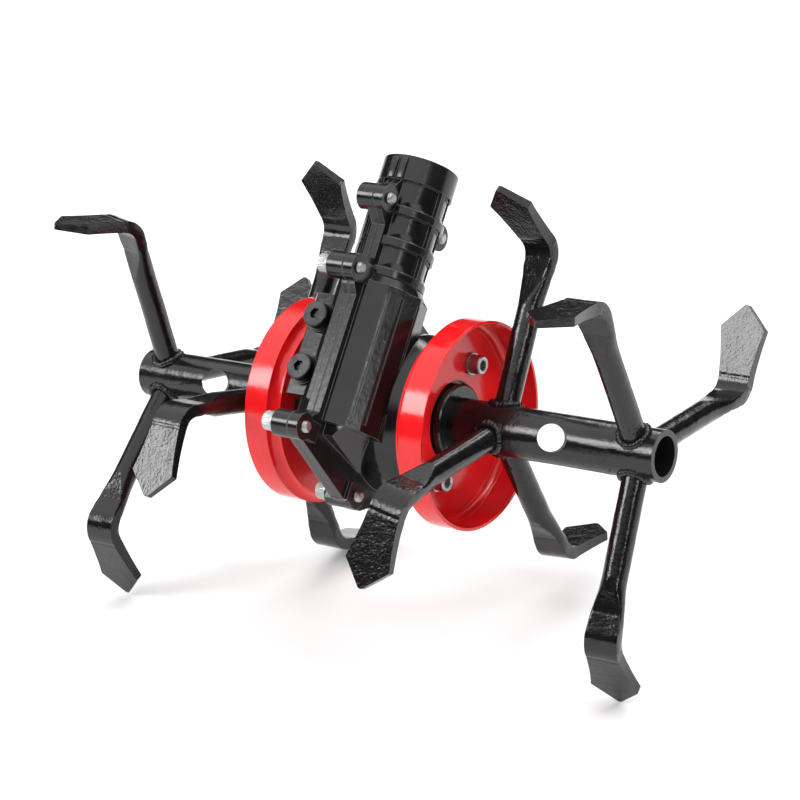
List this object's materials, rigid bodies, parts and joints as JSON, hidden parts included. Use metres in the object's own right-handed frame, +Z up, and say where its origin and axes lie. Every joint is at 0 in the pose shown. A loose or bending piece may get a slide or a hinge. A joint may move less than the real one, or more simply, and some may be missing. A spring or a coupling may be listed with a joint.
{
  "type": "rotary weeder head",
  "caption": "Worm-geared rotary weeding head with a boom collar, tubular hubs carrying bent forged tines, and cupped guards beside the gearbox.",
  "frame": {"origin": "centre of the mouth of the boom socket, where the boom enters the gearbox", "axes": "+X along the axle towards the right hub; +Y towards the back, where the boom leads; +Z up when the head stands on its tines. The boom leans 42 degrees back from +Z."},
  "size_m": [0.3276, 0.245, 0.2501],
  "materials": {
    "housing_paint": "gloss black paint on die-cast aluminium, slightly grainy",
    "hub_paint": "gloss black paint on forged and welded steel",
    "guard_paint": "gloss red paint on pressed sheet steel",
    "zinc": "bright zinc plate",
    "black_oxide": "oiled dark oxide",
    "bearing_steel": "ground bearing steel",
    "machined_steel": "turned and oiled steel",
    "bronze": "cut bronze",
    "seal_rubber": "moulded nitrile rubber",
    "gasket": "compressed gasket paper"
  },
  "bodies": {
    "gearbox": {"gearbox_shell_left": "housing_paint", "gearbox_shell_right": "housing_paint", "shell_gasket": "gasket", "shell_screws": "zinc", "shell_screw_washers": "zinc", "guard_cup_left": "guard_paint", "guard_cup_right": "guard_paint", "guard_screws": "zinc", "guard_screw_washers": "zinc", "bracket_bolts": "black_oxide", "bracket_bolt_washers": "black_oxide", "axle_bearing_outer_rings": "bearing_steel", "axle_bearing_balls": "bearing_steel", "worm_bearing_outer_rings": "bearing_steel", "worm_bearing_balls": "bearing_steel", "bearing_circlips": "black_oxide", "oil_seal_left": "seal_rubber", "oil_seal_right": "seal_rubber"},
    "axle": {"axle_shaft": "machined_steel", "worm_wheel": "bronze", "wheel_key": "machined_steel", "axle_bearing_inner_rings": "bearing_steel", "drive_bush_left": "machined_steel", "drive_bush_right": "machined_steel", "hub_tube_left": "hub_paint", "hub_tube_right": "hub_paint", "hub_flange_left": "hub_paint", "hub_flange_right": "hub_paint", "hub_screws": "black_oxide", "hub_screw_washers": "black_oxide", "tine_right_outer_1": "hub_paint", "tine_right_outer_2": "hub_paint", "tine_right_outer_3": "hub_paint", "tine_right_inner_1": "hub_paint", "tine_right_inner_2": "hub_paint", "tine_right_inner_3": "hub_paint", "tine_left_outer_1": "hub_paint", "tine_left_outer_2": "hub_paint", "tine_left_outer_3": "hub_paint", "tine_left_inner_1": "hub_paint", "tine_left_inner_2": "hub_paint", "tine_left_inner_3": "hub_paint"},
    "worm": {"worm_shaft": "machined_steel", "worm_bearing_inner_rings": "bearing_steel"}
  },
  "joints": [
    {"name": "axle_spin", "type": "hinge", "parent": "gearbox", "child": "axle", "pos_m": [0, -0.05064, -0.11453], "axis": [1, 0, 0], "continuous": true},
    {"name": "worm_spin", "type": "hinge", "parent": "gearbox", "child": "worm", "pos_m": [0, 0, 0], "axis": [0, 0.6691, 0.7431], "continuous": true}
  ],
  "couplings": [
    {"joint": "worm_spin", "follows": "axle_spin", "ratio": 34}
  ]
}
